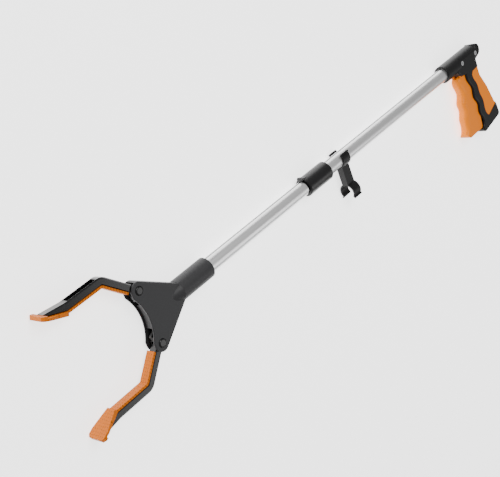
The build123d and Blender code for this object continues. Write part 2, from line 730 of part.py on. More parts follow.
for side, word in ((1, "upper"), (-1, "lower")):
    save(make_arm(side), f"jaw_arm_{word}")
    save(make_pad(side), f"jaw_pad_{word}")
    with BuildPart() as drive_pin:
        with BuildSketch(arm_plane(side, -arm_half)):
            with Locations(drive_local):
                Circle(drive_pin_d / 2)
        extrude(amount=2 * arm_half)
    save(drive_pin, f"drive_pin_{word}")

# -------------------------------------------------- trigger and its linkage
# Outlines here are drawn from the trigger's pivot.
hook_angle = trigger_range / 2
hook_point = turned((0, -hook_r), -hook_angle)
trigger_edge = [(x - trigger_pivot_in, y) for x, y in trigger_front]
trigger_back = [(x - trigger_pivot_in, y) for x, y in trigger_rear]


def trigger_neck(grow=0.0):
    """Sketch of the trigger's hub and neck."""
    with BuildSketch() as outline:
        Circle(trigger_hub_r + grow)
        Polygon((-trigger_hub_r - grow, 0), (trigger_hub_r + grow, 0), (11 + grow, trigger_top - 6),
                (trigger_edge[0][0] - grow, trigger_top - 6), align=None)
    return outline.sketch


def trigger_blade(grow=0.0):
    """Sketch of the part of the trigger that the fingers pull."""
    front = mitred(trigger_edge, -grow)
    back = mitred(trigger_back, grow)
    deep = trigger_foot - grow
    with BuildSketch() as outline:
        with BuildLine():
            Spline(*front)
            Polyline(front[-1], *((front[-1][0] + x, deep + y) for x, y in trigger_toe),
                     (back[-1][0], deep), *reversed(back), (9 + grow, trigger_top + grow),
                     (front[0][0], trigger_top + grow), front[0])
        make_face()
        Circle(trigger_reach + grow, mode=Mode.INTERSECT)
    return outline.sketch


def trigger_swing(grow=0.0):
    """Sketch of the arc that the trigger's lower front corner sweeps."""
    corner = (2 * (trigger_edge[-1][0] + trigger_toe[1][0]), 2 * trigger_foot)
    with BuildSketch() as outline:
        Circle(trigger_reach + grow)
        Polygon((0, 0), corner, turned(corner, trigger_range), align=None, mode=Mode.INTERSECT)
        Circle(trigger_reach - trigger_half, mode=Mode.SUBTRACT)
    return outline.sketch


def rod_end_outline(grow=0.0):
    """Sketch of the rod end's plate, from the rod down to the hook pin."""
    with BuildSketch() as outline:
        with Locations((rod_end_x + rod_socket - 1 - trigger_x, 0)):
            Circle(rod_end_r + grow)
        with Locations(hook_point):
            Circle(rod_end_r + 0.2 + grow)
        make_hull()
    return outline.sketch


with BuildPart() as trigger:
    with BuildSketch(level(-trigger_hub_half)):
        with Locations((trigger_x, 0)):
            add(trigger_neck())
    extrude(amount=2 * trigger_hub_half)
    with BuildSketch(level(-trigger_half)):
        with Locations((trigger_x, 0)):
            add(trigger_blade())
    extrude(amount=2 * trigger_half)
    fillet(trigger.edges().filter_by(Axis.Z).sort_by(Axis.Y)[0:2], trigger_corner)
    rims = trigger.faces().sort_by(Axis.Z)[0].edges() + trigger.faces().sort_by(Axis.Z)[-1].edges()
    fillet(rims.filter_by(GeomType.BSPLINE), trigger_round)
    with BuildSketch(level(-trigger_half)):
        with Locations((trigger_x, 0)):
            Circle(boss_r + run_gap)
        with Locations((trigger_x + hook_point[0], hook_point[1])):
            Circle(drive_pin_d / 2 + fixed_gap)
    extrude(amount=2 * trigger_half, mode=Mode.SUBTRACT)
    with BuildSketch(level(-yoke_thick / 2 - slide_gap)):
        with Locations((trigger_x - hook_r - 1, -hook_r - 2 * rod_end_r)):
            Rectangle(hook_r + 9, hook_r + 2 * rod_end_r + trigger_hub_r + 1, align=Align.MIN)
    extrude(amount=yoke_thick + 2 * slide_gap, mode=Mode.SUBTRACT)
save(trigger, "trigger")

with BuildPart() as hook_pin:
    with BuildSketch(level(-trigger_hub_half)):
        with Locations((trigger_x + hook_point[0], hook_point[1])):
            Circle(drive_pin_d / 2)
    extrude(amount=2 * trigger_hub_half)
save(hook_pin, "hook_pin")

with BuildPart() as rod_end:
    with BuildSketch(across(rod_end_x)):
        Circle(rod_end_r)
    extrude(amount=rod_socket + 0.5)
    with BuildSketch(level(-yoke_thick / 2)):
        with Locations((trigger_x, 0)):
            add(rod_end_outline())
    extrude(amount=yoke_thick)
    with BuildSketch(level(-yoke_thick / 2)):
        with Locations((trigger_x + hook_point[0], -hook_r * (1 + cos(radians(hook_angle))) / 2)):
            SlotOverall(2 * slot_half + hook_r * (1 - cos(radians(hook_angle))) + 0.4, 2 * slot_half,
                        rotation=90)
    extrude(amount=yoke_thick, mode=Mode.SUBTRACT)
    with BuildSketch(across(rod_end_x - rod_end_r)):
        Circle(rod_d / 2 + fixed_gap)
    extrude(amount=rod_end_r + rod_socket, mode=Mode.SUBTRACT)
save(rod_end, "rod_end")

torsion_pitch = torsion_wire_d + 0.06
with BuildPart() as trigger_spring:
    with BuildLine() as coil:
        Helix(pitch=torsion_pitch, height=torsion_turns * torsion_pitch, radius=torsion_r,
              center=at(trigger_x, 0, trigger_hub_half + torsion_lift))
    with BuildSketch(Plane(origin=coil.line @ 0, z_dir=coil.line % 0)):
        Circle(torsion_wire_d / 2)
    sweep(path=coil.line)
save(trigger_spring, "trigger_spring")


# --------------------------------------------------------------------- handle
# Outlines here are drawn from the housing's mouth.
def grip_outline():
    """Sketch of the whole grip, from under the housing to the pommel."""
    with BuildSketch() as outline:
        with BuildLine():
            Polyline((skirt[0][0], grip_top), *skirt, spine_front[0])
            Spline(*spine_front)
            Polyline(spine_front[-1], pommel_front, pommel_rear, *reversed(grip_back),
                     (grip_back[0][0], grip_top), (skirt[0][0], grip_top))
        make_face()
    return outline.sketch


inlay_back = [inlay_top[-1]] + grip_back[1:-1] + [inlay_foot]


def inlay_outline(outward=0.0):
    """Sketch of the inlay's side face, pushed outward at the back by a distance."""
    back = mitred(inlay_back, outward) if outward else inlay_back[1:-1]
    with BuildSketch() as outline:
        with BuildLine():
            Spline(*spine_rear)
            Polyline(spine_rear[-1], inlay_heel, inlay_foot, *reversed(back), *reversed(inlay_top),
                     spine_rear[0])
        make_face()
    return outline.sketch


def back_strip(inward, outward=0.0):
    """Sketch of the inlay's strip round the back of the grip."""
    with BuildSketch() as outline:
        Polygon(*mitred(inlay_back, -inward), *reversed(mitred(inlay_back, outward)), align=None)
    return outline.sketch


with BuildPart() as handle_body:
    with BuildSketch(level(-grip_half)):
        with Locations((mouth_x, 0)):
            add(grip_outline())
    extrude(amount=2 * grip_half)
    fillet(handle_body.edges().filter_by(Axis.Z).sort_by(Axis.Y)[0:2], pommel_round)
    rims = handle_body.faces().sort_by(Axis.Z)[0].edges() + handle_body.faces().sort_by(Axis.Z)[-1].edges()
    fillet(rims, grip_round)
    with BuildSketch(across(mouth_x)):
        Circle(housing_r)
    extrude(amount=housing_body_length)
    with BuildSketch(across(mouth_x + housing_body_length)):
        Circle(housing_r)
    with BuildSketch(across(mouth_x + housing_body_length + housing_taper)):
        Circle(housing_r - housing_taper)
    loft()
    for side in (-1, 1):
        with BuildSketch(level(side * grip_half)):
            with Locations((mouth_x + flat_start, 0)):
                Rectangle(housing_length, 2 * housing_r, align=(Align.MIN, Align.CENTER))
        extrude(amount=side * housing_r, mode=Mode.SUBTRACT)
    with BuildSketch(level(-eyelet_half)):
        with Locations((eyelet_x, 0)):
            Circle(eyelet_r)
        with Locations((mouth_x + housing_body_length, 0)):
            Rectangle(1, 2 * housing_r)
        make_hull()
    extrude(amount=2 * eyelet_half)
    # recess for the inlay
    for z in (-grip_half, grip_half - inlay_thick - inlay_sink):
        with BuildSketch(level(z)):
            with Locations((mouth_x, 0)):
                add(inlay_outline(1))
        extrude(amount=inlay_thick + inlay_sink, mode=Mode.SUBTRACT)
    with BuildSketch(level(-grip_half)):
        with Locations((mouth_x, 0)):
            add(back_strip(inlay_back_thick, 1))
    extrude(amount=2 * grip_half, mode=Mode.SUBTRACT)
    # spaces for the mechanism
    with BuildSketch(across(rear_tube_x1 - 1)):
        Circle(mechanism_r)
    extrude(amount=trigger_x + trigger_hub_r - rear_tube_x1, mode=Mode.SUBTRACT)
    for step in range(turn_steps + 1):
        turn = trigger_range * step / turn_steps
        with BuildSketch(level(-trigger_hub_half - slide_gap)):
            with Locations((trigger_x, 0)):
                add(trigger_neck(slot_gap), rotation=turn)
        extrude(amount=2 * (trigger_hub_half + slide_gap), mode=Mode.SUBTRACT)
        with BuildSketch(level(-trigger_half - slide_gap)):
            with Locations((trigger_x, 0)):
                add(trigger_blade(slot_gap), rotation=turn)
        extrude(amount=2 * (trigger_half + slide_gap), mode=Mode.SUBTRACT)
        with BuildSketch(level(-yoke_thick / 2 - slide_gap)):
            with Locations((trigger_x + travel * step / turn_steps, 0)):
                add(rod_end_outline(slide_gap))
        extrude(amount=yoke_thick + 2 * slide_gap, mode=Mode.SUBTRACT)
    with BuildSketch(level(-trigger_half - slide_gap)):
        with Locations((trigger_x, 0)):
            add(trigger_swing(slot_gap))
    extrude(amount=2 * (trigger_half + slide_gap), mode=Mode.SUBTRACT)
    with BuildSketch(level(trigger_hub_half)):
        with Locations((trigger_x, 0)):
            Circle(torsion_r + torsion_wire_d / 2 + slide_gap)
    extrude(amount=torsion_turns * torsion_pitch + 2 * torsion_lift, mode=Mode.SUBTRACT)
    with BuildSketch(level(-housing_r + 2)):
        with Locations((trigger_x, 0)):
            Circle(boss_r)
    extrude(amount=2 * housing_r - 4)
    # tube socket with its key
    with BuildSketch(across(mouth_x)):
        Circle(tube_r + fixed_gap)
        with Locations((tube_r, 0)):
            Rectangle(2 * (keyway_depth - slide_gap), keyway_width - 2 * slide_gap, mode=Mode.SUBTRACT)
    extrude(amount=handle_seat, mode=Mode.SUBTRACT)
    # screw holes, head recesses and the hanging hole
    with BuildSketch(level(-screw_reach)):
        with Locations((trigger_x, 0), (rear_screw_x, 0)):
            Circle(screw_d / 2 + fixed_gap)
    extrude(amount=2 * housing_r, mode=Mode.SUBTRACT)
    with BuildSketch(level(screw_seat_z)):
        with Locations((trigger_x, 0), (rear_screw_x, 0)):
            Circle(screw_head_d / 2 + slide_gap)
    extrude(amount=housing_r, mode=Mode.SUBTRACT)
    with BuildSketch(level(-housing_r)):
        with Locations((eyelet_x, 0)):
            Circle(eyelet_hole_r)
    extrude(amount=2 * housing_r, mode=Mode.SUBTRACT)

# the inlay is kept inside a block with rounded back edges
with BuildPart() as inlay_limit:
    with BuildSketch(level(inlay_sink - grip_half)):
        with Locations((mouth_x, 0)):
            Polygon(*inlay_back, (spine_front[0][0], -grip_reach), (spine_front[0][0], 0),
                    (inlay_back[0][0], 0), align=None)
    extrude(amount=2 * (grip_half - inlay_sink))
    back_rims = [edge for edge in inlay_limit.edges().filter_by(Axis.Z, reverse=True)
                 if edge.center().X > at(mouth_x + inlay_back[0][0] - 1)[0]
                 and edge.center().Y > at(0, inlay_foot[1])[1]]
    fillet(back_rims, inlay_round)

with BuildPart() as inlay_body:
    for z in (inlay_sink - grip_half, grip_half - inlay_thick - inlay_sink):
        with BuildSketch(level(z)):
            with Locations((mouth_x, 0)):
                add(inlay_outline())
        extrude(amount=inlay_thick)
    with BuildSketch(level(inlay_sink - grip_half)):
        with Locations((mouth_x, 0)):
            add(back_strip(inlay_back_thick - fixed_gap))
    extrude(amount=2 * (grip_half - inlay_sink))
    add(inlay_limit.part, mode=Mode.INTERSECT)

for word, keep in (("left", Keep.TOP), ("right", Keep.BOTTOM)):
    with BuildPart() as shell:
        add(handle_body.part)
        split(bisect_by=mid, keep=keep)
    save(shell, f"handle_shell_{word}")
    with BuildPart() as inlay:
        add(inlay_body.part)
        split(bisect_by=mid, keep=keep)
    save(inlay, f"grip_inlay_{word}")

with BuildPart() as handle_screws:
    with BuildSketch(level(0.2 - screw_reach)):
        with Locations((trigger_x, 0), (rear_screw_x, 0)):
            Circle(screw_d / 2)
    extrude(amount=screw_reach + screw_seat_z)
    with BuildSketch(level(screw_seat_z)):
        with Locations((trigger_x, 0), (rear_screw_x, 0)):
            Circle(screw_head_d / 2)
    extrude(amount=screw_head_thick)
    with BuildSketch(level(screw_seat_z + screw_head_thick)):
        with Locations((trigger_x, 0), (rear_screw_x, 0)):
            Rectangle(screw_head_d * 0.66, 0.9)
            Rectangle(0.9, screw_head_d * 0.66)
    extrude(amount=-1.2, mode=Mode.SUBTRACT)
save(handle_screws, "handle_screws")

# ----------------------------------------------------------------- storage clip
clip_inner_r = tube_r + run_gap
clip_outer_r = clip_inner_r + clip_wall
with BuildPart() as storage_clip:
    with BuildSketch(across(clip_x - clip_length / 2)):
        with Locations((-clip_pitch / 2, 0)):
            Rectangle(clip_pitch - 2 * clip_inner_r - clip_wall, clip_web_thick)
        for centre, turn in ((0, 0), (-clip_pitch, 180)):
            with Locations(Location((centre, 0), turn)):
                Circle(clip_outer_r)
        for centre, turn in ((0, 0), (-clip_pitch, 180)):
            with Locations(Location((centre, 0), turn)):
                Circle(clip_inner_r, mode=Mode.SUBTRACT)
                Polygon((0, 0), turned((2 * clip_outer_r, 0), clip_mouth / 2),
                        turned((2 * clip_outer_r, 0), -clip_mouth / 2), align=None, mode=Mode.SUBTRACT)
        for centre, turn in ((0, 0), (-clip_pitch, 180)):
            for end in (-1, 1):
                root = turned((clip_inner_r + clip_wall / 2, 0), end * (clip_mouth / 2 + 3))
                with Locations(Location((centre, 0), turn)):
                    with Locations(Location(root, end * clip_flare)):
                        Rectangle(clip_lip, clip_wall, align=(Align.MIN, Align.CENTER))
    extrude(amount=clip_length)
save(storage_clip, "storage_clip")
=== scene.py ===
"""Studio scene of a folding reacher grabber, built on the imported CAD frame."""
import logging
import math
from dataclasses import dataclass, field
from enum import Enum
from typing import Any, Iterable

import bmesh
import bpy
from mathutils import Matrix, Vector


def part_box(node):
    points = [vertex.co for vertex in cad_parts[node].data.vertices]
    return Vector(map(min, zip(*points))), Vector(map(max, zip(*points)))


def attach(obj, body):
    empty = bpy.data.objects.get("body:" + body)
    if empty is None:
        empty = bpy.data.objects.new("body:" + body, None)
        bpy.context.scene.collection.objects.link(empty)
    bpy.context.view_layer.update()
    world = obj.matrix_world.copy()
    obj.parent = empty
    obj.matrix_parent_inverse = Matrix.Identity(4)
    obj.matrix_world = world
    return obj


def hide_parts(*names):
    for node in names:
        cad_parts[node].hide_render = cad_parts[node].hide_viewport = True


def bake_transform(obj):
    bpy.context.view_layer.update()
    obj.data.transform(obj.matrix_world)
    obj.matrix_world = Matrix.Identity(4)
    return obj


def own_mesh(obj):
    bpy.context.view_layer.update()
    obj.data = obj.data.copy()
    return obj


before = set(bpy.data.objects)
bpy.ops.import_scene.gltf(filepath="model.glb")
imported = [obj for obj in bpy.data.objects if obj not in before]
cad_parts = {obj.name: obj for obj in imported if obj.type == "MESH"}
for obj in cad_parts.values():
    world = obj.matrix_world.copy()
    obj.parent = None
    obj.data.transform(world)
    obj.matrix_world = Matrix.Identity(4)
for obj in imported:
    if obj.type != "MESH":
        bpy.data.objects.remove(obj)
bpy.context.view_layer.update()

LOG = logging.getLogger("reacher")
MM = 0.001
Colour = tuple[float, float, float]


class Coat(Enum):
    """How much clear gloss lies over a moulding."""

    NONE = 0.0
    THIN = 0.25


class Signal:
    """A shader socket that can be used in Python expressions."""

    def __init__(self, graph: "Graph", socket: bpy.types.NodeSocket) -> None:
        """Keeps the socket and the graph that it belongs to."""
        self.graph = graph
        self.socket = socket

    def _join(self, other: Any, operation: str) -> "Signal":
        """Adds the node for one arithmetic step.

        Args:
            other: A number, a tuple or another signal.
            operation: The Math node's name of the step.

        Returns:
            The result as a new signal.
        """
        kinds = {s.socket.type for s in (self, other) if isinstance(s, Signal)}
        kind = "ShaderNodeVectorMath" if "VECTOR" in kinds else "ShaderNodeMath"
        return self.graph.node(kind, {"operation": operation}, {0: self, 1: other})

    def __add__(self, other: Any) -> "Signal":
        """Sum."""
        return self._join(other, "ADD")

    def __mul__(self, other: Any) -> "Signal":
        """Product."""
        return self._join(other, "MULTIPLY")

    def __pow__(self, other: Any) -> "Signal":
        """Power."""
        return self._join(other, "POWER")


class Graph:
    """One material's node tree, with a Principled surface."""

    def __init__(self, name: str) -> None:
        """Makes the material and its two fixed nodes."""
        self.material = bpy.data.materials.new(name)
        self.material.use_nodes = True
        self.tree = self.material.node_tree
        self.tree.nodes.clear()
        self.shader = self.tree.nodes.new("ShaderNodeBsdfPrincipled")
        output = self.tree.nodes.new("ShaderNodeOutputMaterial")
        self.tree.links.new(self.shader.outputs[0], output.inputs["Surface"])

    def node(self, kind: str, settings: dict[str, Any], inputs: dict[Any, Any], output: Any = 0) -> Signal:
        """Adds any node.

        Args:
            kind: The node's type.
            settings: Properties set first.
            inputs: Values or signals by socket name or number.
            output: Name or number of the output to return.

        Returns:
            The chosen output as a signal.
        """
        made = self.tree.nodes.new(kind)
        for key, value in settings.items():
            setattr(made, key, value)
        for key, value in inputs.items():
            self.feed(made.inputs[key], value)
        return Signal(self, made.outputs[output])

    def feed(self, socket: bpy.types.NodeSocket, value: Any) -> None:
        """Links a signal to a socket, or sets a plain value on it."""
        if isinstance(value, Signal):
            self.tree.links.new(value.socket, socket)
        elif socket.type == "RGBA":
            socket.default_value = (*value, 1.0)
        else:
            socket.default_value = value

    def mix(self, factor: Any, first: Any, second: Any) -> Signal:
        """Mixes two colours.

        Args:
            factor: Share of the second colour.
            first: Colour or signal.
            second: Colour or signal.

        Returns:
            The mixed colour.
        """
        made = self.tree.nodes.new("ShaderNodeMix")
        made.data_type = "RGBA"
        made.blend_type = "MIX"
        self.feed(made.inputs[0], factor)
        self.feed(made.inputs[6], first)
        self.feed(made.inputs[7], second)
        return Signal(self, made.outputs[2])

    def place(self, scale: tuple[float, float, float], turn: float = 0.0) -> Signal:
        """Object coordinates, turned about Z in degrees and then scaled."""
        spot = self.node("ShaderNodeTexCoord", {}, {}, "Object")
        turned = self.node("ShaderNodeMapping", {}, {"Vector": spot, "Rotation": (0, 0, math.radians(turn))})
        return turned * self.node("ShaderNodeCombineXYZ", {}, {0: scale[0], 1: scale[1], 2: scale[2]})

    def noise(self, spot: Signal, detail: float = 3.0, roughness: float = 0.5) -> Signal:
        """Smooth noise between 0 and 1, sized by the coordinates' scale."""
        return self.node("ShaderNodeTexNoise", {}, {"Vector": spot, "Scale": 1.0, "Detail": detail,
                                                    "Roughness": roughness})

    def even_noise(self, scale: float, detail: float = 3.0, roughness: float = 0.5) -> Signal:
        """Noise of the same size in every direction."""
        return self.noise(self.place((scale, scale, scale)), detail, roughness)

    def bump(self, height: Signal, distance: float, strength: float) -> Signal:
        """A bumped normal from a height between 0 and 1 and its real depth in metres."""
        return self.node("ShaderNodeBump", {}, {"Height": height, "Distance": distance, "Strength": strength})

    def surface(self, **values: Any) -> bpy.types.Material:
        """Sets the Principled sockets by name and returns the material."""
        for key, value in values.items():
            self.feed(self.shader.inputs[key.replace("_", " ")], value)
        return self.material


@dataclass(frozen=True)
class SatinAluminium:
    """Anodised drawn tube."""

    name: str = "satin_aluminium"
    colour: Colour = (0.78, 0.78, 0.78)
    streak_across: float = 900.0
    streak_along: float = 3.0
    streak_detail: float = 4.0
    streak_breakup: float = 0.6
    streak_depth: float = 0.02 * MM
    streak_strength: float = 0.4
    cloud_along: float = 9.0
    cloud_across: float = 30.0
    cloud_detail: float = 2.0
    cloud_share: float = 0.5
    cloud_shade: float = 0.90
    roughness: float = 0.30
    roughness_spread: float = 0.12

    def material(self) -> bpy.types.Material:
        """Builds the material."""
        g = Graph(self.name)
        streaks = g.noise(g.place((self.streak_along, self.streak_across, self.streak_across)),
                          self.streak_detail, self.streak_breakup)
        clouds = g.noise(g.place((self.cloud_along, self.cloud_across, self.cloud_across)), self.cloud_detail)
        darker = tuple(c * self.cloud_shade for c in self.colour)
        colour = g.mix(clouds * self.cloud_share, self.colour, darker)
        return g.surface(Base_Color=colour, Metallic=1.0,
                         Roughness=streaks * self.roughness_spread + self.roughness,
                         Normal=g.bump(streaks, self.streak_depth, self.streak_strength))


@dataclass(frozen=True)
class Moulding:
    """Moulded plastic with an etched grain."""

    name: str
    colour: Colour
    roughness: float
    grain_mm: float = 0.5
    grain_depth_mm: float = 0.02
    shade_spread: float = 0.25
    coat: Coat = Coat.NONE
    specular: float = 0.25
    coat_roughness: float = 0.12
    cloud_scale: float = 22.0
    cloud_weight: float = 0.6
    grain_detail: float = 2.0
    grain_breakup: float = 0.55
    grain_weight: float = 0.4
    grain_strength: float = 0.7
    cloud_roughness: float = 0.10
    grain_roughness: float = 0.06
    roughness_drop: float = 0.08

    def material(self) -> bpy.types.Material:
        """Builds the material."""
        g = Graph(self.name)
        grain = g.even_noise(1.0 / (self.grain_mm * MM), self.grain_detail, self.grain_breakup)
        broad = g.even_noise(self.cloud_scale)
        light = tuple(min(1.0, c * (1.0 + self.shade_spread)) for c in self.colour)
        colour = g.mix(broad * self.cloud_weight + grain * self.grain_weight, self.colour, light)
        rough = broad * self.cloud_roughness + grain * self.grain_roughness
        rough = rough + (self.roughness - self.roughness_drop)
        return g.surface(Base_Color=colour, Roughness=rough, Coat_Weight=self.coat.value,
                         Coat_Roughness=self.coat_roughness, Specular_IOR_Level=self.specular,
                         Normal=g.bump(grain, self.grain_depth_mm * MM, self.grain_strength))


@dataclass(frozen=True)
class DottedRubber:
    """Soft lining with rows of small dimples, whose insides carry painted shade."""

    name: str
    colour: Colour
    turn: float
    pitch_mm: float = 3.4
    dimple_mm: float = 0.55
    dimple_depth: float = 0.35 * MM
    dimple_strength: float = 0.8
    dimple_painted_shade: float = 0.55
    rim_inner: float = 0.7
    rim_outer: float = 1.3
    cloud_shade: float = 0.88
    dimple_weight: float = 0.9
    fine_scale: float = 3000.0
    fine_detail: float = 2.0
    fine_weight: float = 0.1
    cloud_scale: float = 30.0
    roughness: float = 0.40
    cloud_roughness: float = 0.12
    fine_roughness: float = 0.08
    specular: float = 0.12

    def material(self) -> bpy.types.Material:
        """Builds the material."""
        g = Graph(self.name)
        step = 1.0 / (self.pitch_mm * MM)
        spot = g.place((step, step, step), self.turn)
        cells = g.node("ShaderNodeVectorMath", {"operation": "FRACTION"}, {0: spot})
        off = g.node("ShaderNodeVectorMath", {"operation": "SUBTRACT"}, {0: cells, 1: (0.5, 0.5, 0.5)})
        parts = [g.node("ShaderNodeSeparateXYZ", {}, {0: off}, axis) for axis in ("X", "Z")]
        distance = (parts[0] * parts[0] + parts[1] * parts[1]) ** 0.5
        radius = self.dimple_mm / self.pitch_mm
        dimple = g.node("ShaderNodeMapRange", {"interpolation_type": "SMOOTHSTEP"},
                        {"Value": distance, "From Min": radius * self.rim_inner,
                         "From Max": radius * self.rim_outer, "To Min": 0.0, "To Max": 1.0})
        fine = g.even_noise(self.fine_scale, self.fine_detail)
        broad = g.even_noise(self.cloud_scale)
        # Painted shade: the inside of each dimple is darkened, standing in for the shade that falls in the
        # pit.
        painted_dimple_shade = tuple(c * self.dimple_painted_shade for c in self.colour)
        light = g.mix(broad, self.colour, tuple(c * self.cloud_shade for c in self.colour))
        colour = g.mix(dimple, painted_dimple_shade, light)
        rough = broad * self.cloud_roughness + fine * self.fine_roughness + self.roughness
        height = dimple * self.dimple_weight + fine * self.fine_weight
        return g.surface(Base_Color=colour, Roughness=rough, Specular_IOR_Level=self.specular,
                         Normal=g.bump(height, self.dimple_depth, self.dimple_strength))


@dataclass(frozen=True)
class BareSteel:
    """Steel wire, pins or plated screws."""

    name: str
    colour: Colour
    roughness: float
    line_mm: float = 0.3
    line_stretch: float = 0.05
    line_depth: float = 0.01 * MM
    line_strength: float = 0.5
    stain_scale: float = 120.0
    stain_share: float = 0.5
    stain_shade: float = 0.8
    roughness_spread: float = 0.15

    def material(self) -> bpy.types.Material:
        """Builds the material."""
        g = Graph(self.name)
        fine = 1.0 / (self.line_mm * MM)
        lines = g.noise(g.place((fine * self.line_stretch, fine, fine)))
        stain = g.even_noise(self.stain_scale)
        darker = tuple(c * self.stain_shade for c in self.colour)
        colour = g.mix(stain * self.stain_share, self.colour, darker)
        return g.surface(Base_Color=colour, Metallic=1.0,
                         Roughness=lines * self.roughness_spread + self.roughness,
                         Normal=g.bump(lines, self.line_depth, self.line_strength))


ORANGE: Colour = (0.85, 0.21, 0.0)
# Painted shade: the pads' orange is a darker copy of ORANGE, offsetting the stronger light that reaches the
# pads.
PAD_ORANGE_PAINTED_SHADE: Colour = (0.60, 0.14, 0.0)
BLACK: Colour = (0.0035, 0.0035, 0.0038)
PIN_STEEL: Colour = (0.55, 0.55, 0.56)


def dress(names: Iterable[str], material: bpy.types.Material) -> None:
    """Gives CAD nodes a material in every slot.

    Args:
        names: CAD node names.
        material: The finished material.
    """
    for name in names:
        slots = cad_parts[name].data.materials
        if not slots:
            slots.append(material)
        for index in range(len(slots)):
            slots[index] = material
        LOG.info("dressed %s with %s", name, material.name)


def centre_of(name: str) -> Vector:
    """The middle of a CAD node's box."""
    low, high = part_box(name)
    return (Vector(low) + Vector(high)) / 2


def skin_wires(name: str, wires: list[list[list[Vector]]], material: bpy.types.Material) -> bpy.types.Object:
    """Skins rings of points into closed wires.

    Args:
        name: Name of the mesh and of the object.
        wires: The rings of each wire in order, each ring a list of points.
        material: The wires' material.

    Returns:
        The finished object, in the scene.
    """
    made = bmesh.new()
    for wire in wires:
        rings = [[made.verts.new(point) for point in ring] for ring in wire]
        for first, second in zip(rings, rings[1:]):
            sides = len(first)
            for k in range(sides):
                made.faces.new((first[k], first[(k + 1) % sides], second[(k + 1) % sides], second[k]))
        made.faces.new(rings[0])
        made.faces.new(list(reversed(rings[-1])))
    bmesh.ops.recalc_face_normals(made, faces=made.faces)
    mesh = bpy.data.meshes.new(name)
    made.to_mesh(mesh)
    made.free()
    mesh.polygons.foreach_set("use_smooth", [True] * len(mesh.polygons))
    mesh.materials.append(material)
    skinned = bpy.data.objects.new(name, mesh)
    bpy.context.scene.collection.objects.link(skinned)
    return skinned


@dataclass(frozen=True)
class SoftBox:
    """A rectangular area light that faces its aim."""

    name: str
    place: tuple[float, float, float]
    size: tuple[float, float]
    power: float
    aim: tuple[float, float, float] = (0.0, 0.0, 0.0)

    def build(self) -> None:
        """Adds the light and turns it to its aim."""
        data = bpy.data.lights.new(self.name, "AREA")
        data.shape = "RECTANGLE"
        data.size, data.size_y = self.size
        data.energy = self.power
        light = bpy.data.objects.new(self.name, data)
        light.location = self.place
        light.rotation_euler = (Vector(self.aim) - Vector(self.place)).to_track_quat("-Z", "Y").to_euler()
        bpy.context.scene.collection.objects.link(light)


@dataclass
class Studio:
    """Floor, lights and camera."""

    camera_from_pin: tuple[float, float, float] = (-0.768259, 0.412766, 0.781830)
    camera_right: tuple[float, float, float] = (0.62068, -0.33393, 0.70940)
    camera_up: tuple[float, float, float] = (0.51001, 0.85915, -0.04180)
    lens: float = 71.1
    floor_colour: Colour = (0.93, 0.93, 0.93)
    floor_shade: Colour = (0.91, 0.91, 0.91)
    floor_cloud_scale: float = 3.0
    floor_cloud_detail: float = 2.0
    floor_cloud_share: float = 0.3
    floor_roughness: float = 0.9
    floor_glow: float = 2.2
    floor_half: float = 6.0
    floor_drop: float = 0.5 * MM
    sensor_width: float = 36.0
    surround_strength: float = 0.5
    key: SoftBox = SoftBox("key", (-0.3, 1.0, 1.5), (1.0, 0.6), 22.0)
    fill: SoftBox = SoftBox("fill", (0.9, -0.9, 1.3), (1.0, 1.0), 7.0)

    def build_camera(self) -> None:
        """Places the camera at a fixed offset from the hinge pin."""
        data = bpy.data.cameras.new("camera")
        data.lens = self.lens
        data.sensor_width = self.sensor_width
        camera = bpy.data.objects.new("camera", data)
        bpy.context.scene.collection.objects.link(camera)
        right, up = Vector(self.camera_right).normalized(), Vector(self.camera_up)
        up = (up - right * up.dot(right)).normalized()
        back = right.cross(up)
        turn = Matrix((right, up, back)).transposed().to_4x4()
        place = centre_of("hinge_pin") + Vector(self.camera_from_pin)
        camera.matrix_world = Matrix.Translation(place) @ turn
        bpy.context.scene.camera = camera
        LOG.info("camera placed")

    def build_floor(self) -> None:
        """Lays a plain pale floor under the object."""
        mesh = bpy.data.meshes.new("floor")
        made = bmesh.new()
        bmesh.ops.create_grid(made, x_segments=2, y_segments=2, size=self.floor_half)
        made.to_mesh(mesh)
        made.free()
        floor = bpy.data.objects.new("floor", mesh)
        floor.location.z = -self.floor_drop
        bpy.context.scene.collection.objects.link(floor)
        g = Graph("floor_paint")
        tone = g.even_noise(self.floor_cloud_scale, self.floor_cloud_detail)
        colour = g.mix(tone * self.floor_cloud_share, self.floor_colour, self.floor_shade)
        mesh.materials.append(g.surface(Base_Color=colour, Roughness=self.floor_roughness,
                                        Emission_Color=(1.0, 1.0, 1.0), Emission_Strength=self.floor_glow))
        LOG.info("floor laid")

    def build_lights(self) -> None:
        """Sets the soft boxes and the pale surroundings."""
        world = bpy.data.worlds.new("surroundings")
        world.use_nodes = True
        background = world.node_tree.nodes["Background"]
        background.inputs[0].default_value = (1.0, 1.0, 1.0, 1.0)
        background.inputs[1].default_value = self.surround_strength
        bpy.context.scene.world = world
        self.key.build()
        self.fill.build()
        LOG.info("lights set")


@dataclass
class Tubes:
    """The two aluminium tubes."""

    finish: SatinAluminium = field(default_factory=SatinAluminium)

    def dress(self) -> None:
        """Finishes the tubes."""
        dress(("front_tube", "rear_tube"), self.finish.material())


